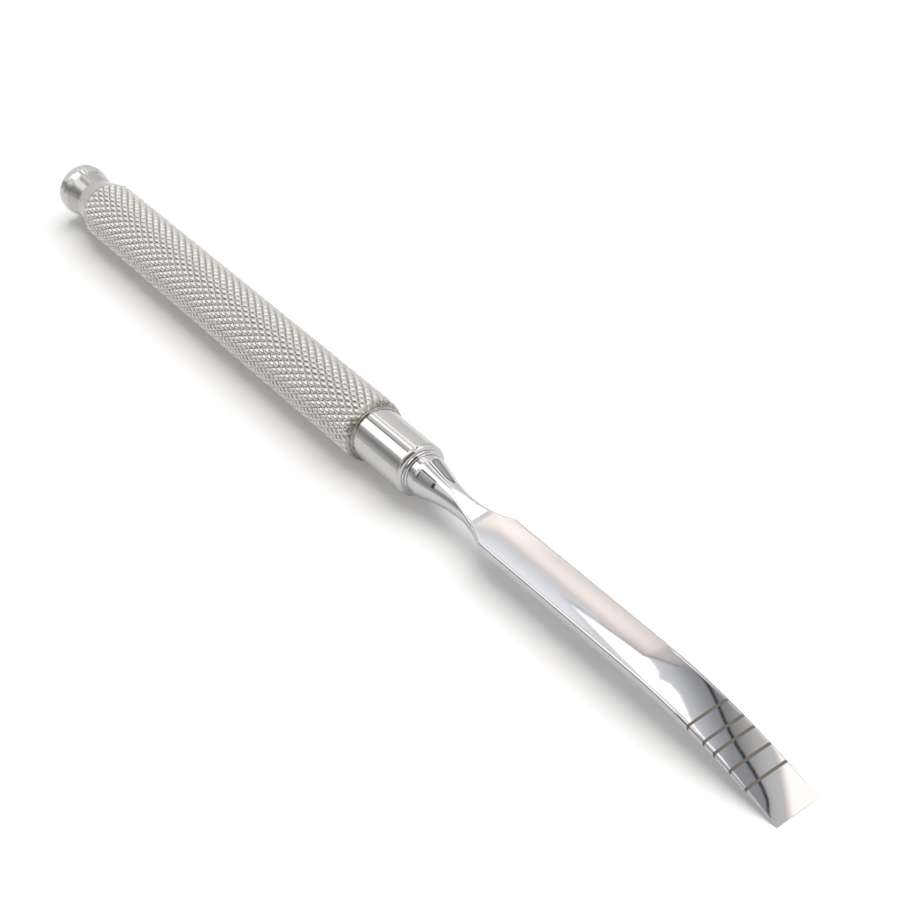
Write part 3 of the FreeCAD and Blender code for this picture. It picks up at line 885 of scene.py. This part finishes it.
# %% Cards over the handle and the cone
# The big softbox over the handle, the narrow one beside it, and the grey gap between them
NEAR_BOX = [(-1.55, -1.15), (-0.95, -0.75), (-0.55, -0.5), (-0.2, -0.33), (-0.15, 0.0),
            (-0.3, 0.02), (-0.55, 0.17), (-0.85, -0.12), (-1.2, -0.15)]
GAP_LIGHT = [(-0.85, -0.1), (-0.55, 0.19), (-0.3, 0.04), (-0.15, 0.02), (-0.15, 0.34),
             (-0.55, 0.36), (-0.85, 0.2)]
overhead("softbox_near", NEAR_BOX, 2.0)
overhead("gap_dark", [(-1.2, -0.15), (-0.85, -0.12), (-0.85, -0.03), (-1.2, -0.06)], 0.33)
overhead("gap_grey", [(-1.2, -0.06), (-0.85, -0.03), (-0.85, 0.2), (-1.2, 0.21)], 0.8,
         [((0, 1), 0.0, 0.2, 1.3)])
overhead("gap_light", GAP_LIGHT, 0.97)
overhead("narrow_softbox", [(-1.15, 0.21), (-0.85, 0.2), (-0.85, 0.36), (-1.15, 0.37)], 2.0)
overhead("narrow_edge", strip([(-1.2, 0.425), (-0.97, 0.41)], 0.035), 0.5)
# What only the cone sees: a low grey panel with a dark rim, and a reddish streak beside it
PANEL_CEILING = 2.4
PANEL_SIDE = [(-0.36, -0.84), (-0.43, -1.15), (-0.55, -1.59), (-0.76, -2.32)]
PANEL = [(-0.335, -0.56)] + PANEL_SIDE + [(0.1, -2.32), (0.1, -0.56)]
PANEL_RIM = [(-0.335, -0.62)] + PANEL_SIDE + [
    (-0.87, -2.32), (-0.625, -1.59), (-0.49, -1.15), (-0.41, -0.84), (-0.36, -0.62)]
overhead("panel_grey", PANEL, 0.75, [((0, -1), 0.7, 1.4, 0.6)], "#F4F8F3", PANEL_CEILING)
overhead("panel_rim", PANEL_RIM, 0.06, ceiling=PANEL_CEILING)
overhead("red_streak", [(-0.33, -0.31), (-0.33, -0.48), (-0.15, -0.48), (-0.15, -0.31)], 0.3,
         colour="#FFC4B8")
print("cards overhead:", len(hung))

# %% Cards that stand round the object
upright("near_flag_low", (-95, -150), (-2, 19), 0.75, 0.48)
upright("near_flag_high", (-95, -150), (19, 33), 0.36, 2.2)
upright("far_flag", (104, 121), (-3, 44), 0.55, 1.36)
upright("far_flag_foot", (104, 120), (4, 9), 0.36, distance=5.9)
upright("far_flag_top", (104, 121), (38, 44), 0.3, distance=5.9)
upright("far_flag_edge", (118.8, 121), (4, 42), 0.36, distance=5.8)
upright("far_wall", (121, 150), (-3, 30), 0.9, 1.17)
# The dim side of the room, behind and beside the camera
upright("dim_side", (-75, 15), (12, 62), 0.24, colour="#FFE9DC")

# %% [markdown]
# ## Lamp
# One square lamp on the far side draws the soft shadow on the near side. Its edge length
# sets how soft the shadow is. It is hidden from reflections, where the cards stand for it.

# %% Lamp
lamp_data = bpy.data.lights.new("far_softbox", "AREA")
lamp_data.shape = "RECTANGLE"
LAMP_SIDE = 1.3
lamp_data.size = LAMP_SIDE
lamp_data.size_y = LAMP_SIDE
lamp_data.energy = 17.3
lamp = bpy.data.objects.new("far_softbox", lamp_data)
bpy.context.scene.collection.objects.link(lamp)
lamp.location = (0.05, 0.45, 1.25)
lamp.rotation_mode = "QUATERNION"
lamp.rotation_quaternion = (-lamp.location).to_track_quat("-Z", "Y")
lamp.visible_glossy = False
print("lamp in W:", round(lamp_data.energy, 1), "distance in m:", round(lamp.location.length, 2))

# %% [markdown]
# ## Camera
# The camera was solved from the photograph: the handle's outlines give its direction,
# and the depth lines give its distance. It is written as the three axes it looks along.

# %% Camera
camera_data = bpy.data.cameras.new("camera")
camera_data.lens = 81.47
camera_data.sensor_width = 36.0
camera = bpy.data.objects.new("camera", camera_data)
bpy.context.scene.collection.objects.link(camera)
right = Vector((0.57940, 0.80390, -0.13457)).normalized()
back = Vector((0.66620, -0.37190, 0.64641)).normalized()
up = back.cross(right)
camera_place = Vector((0.21502, -0.10649, 0.20051))
camera.matrix_world = Matrix.Translation(camera_place) @ Matrix((right, up, back)).transposed().to_4x4()
bpy.context.scene.camera = camera
bpy.context.scene.view_settings.view_transform = "Standard"
print("camera distance in m:", round(camera_place.length, 3))

# %% Measure the visual box
low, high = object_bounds()
print("visual box in mm:", [round(side / MM, 2) for side in high - low])
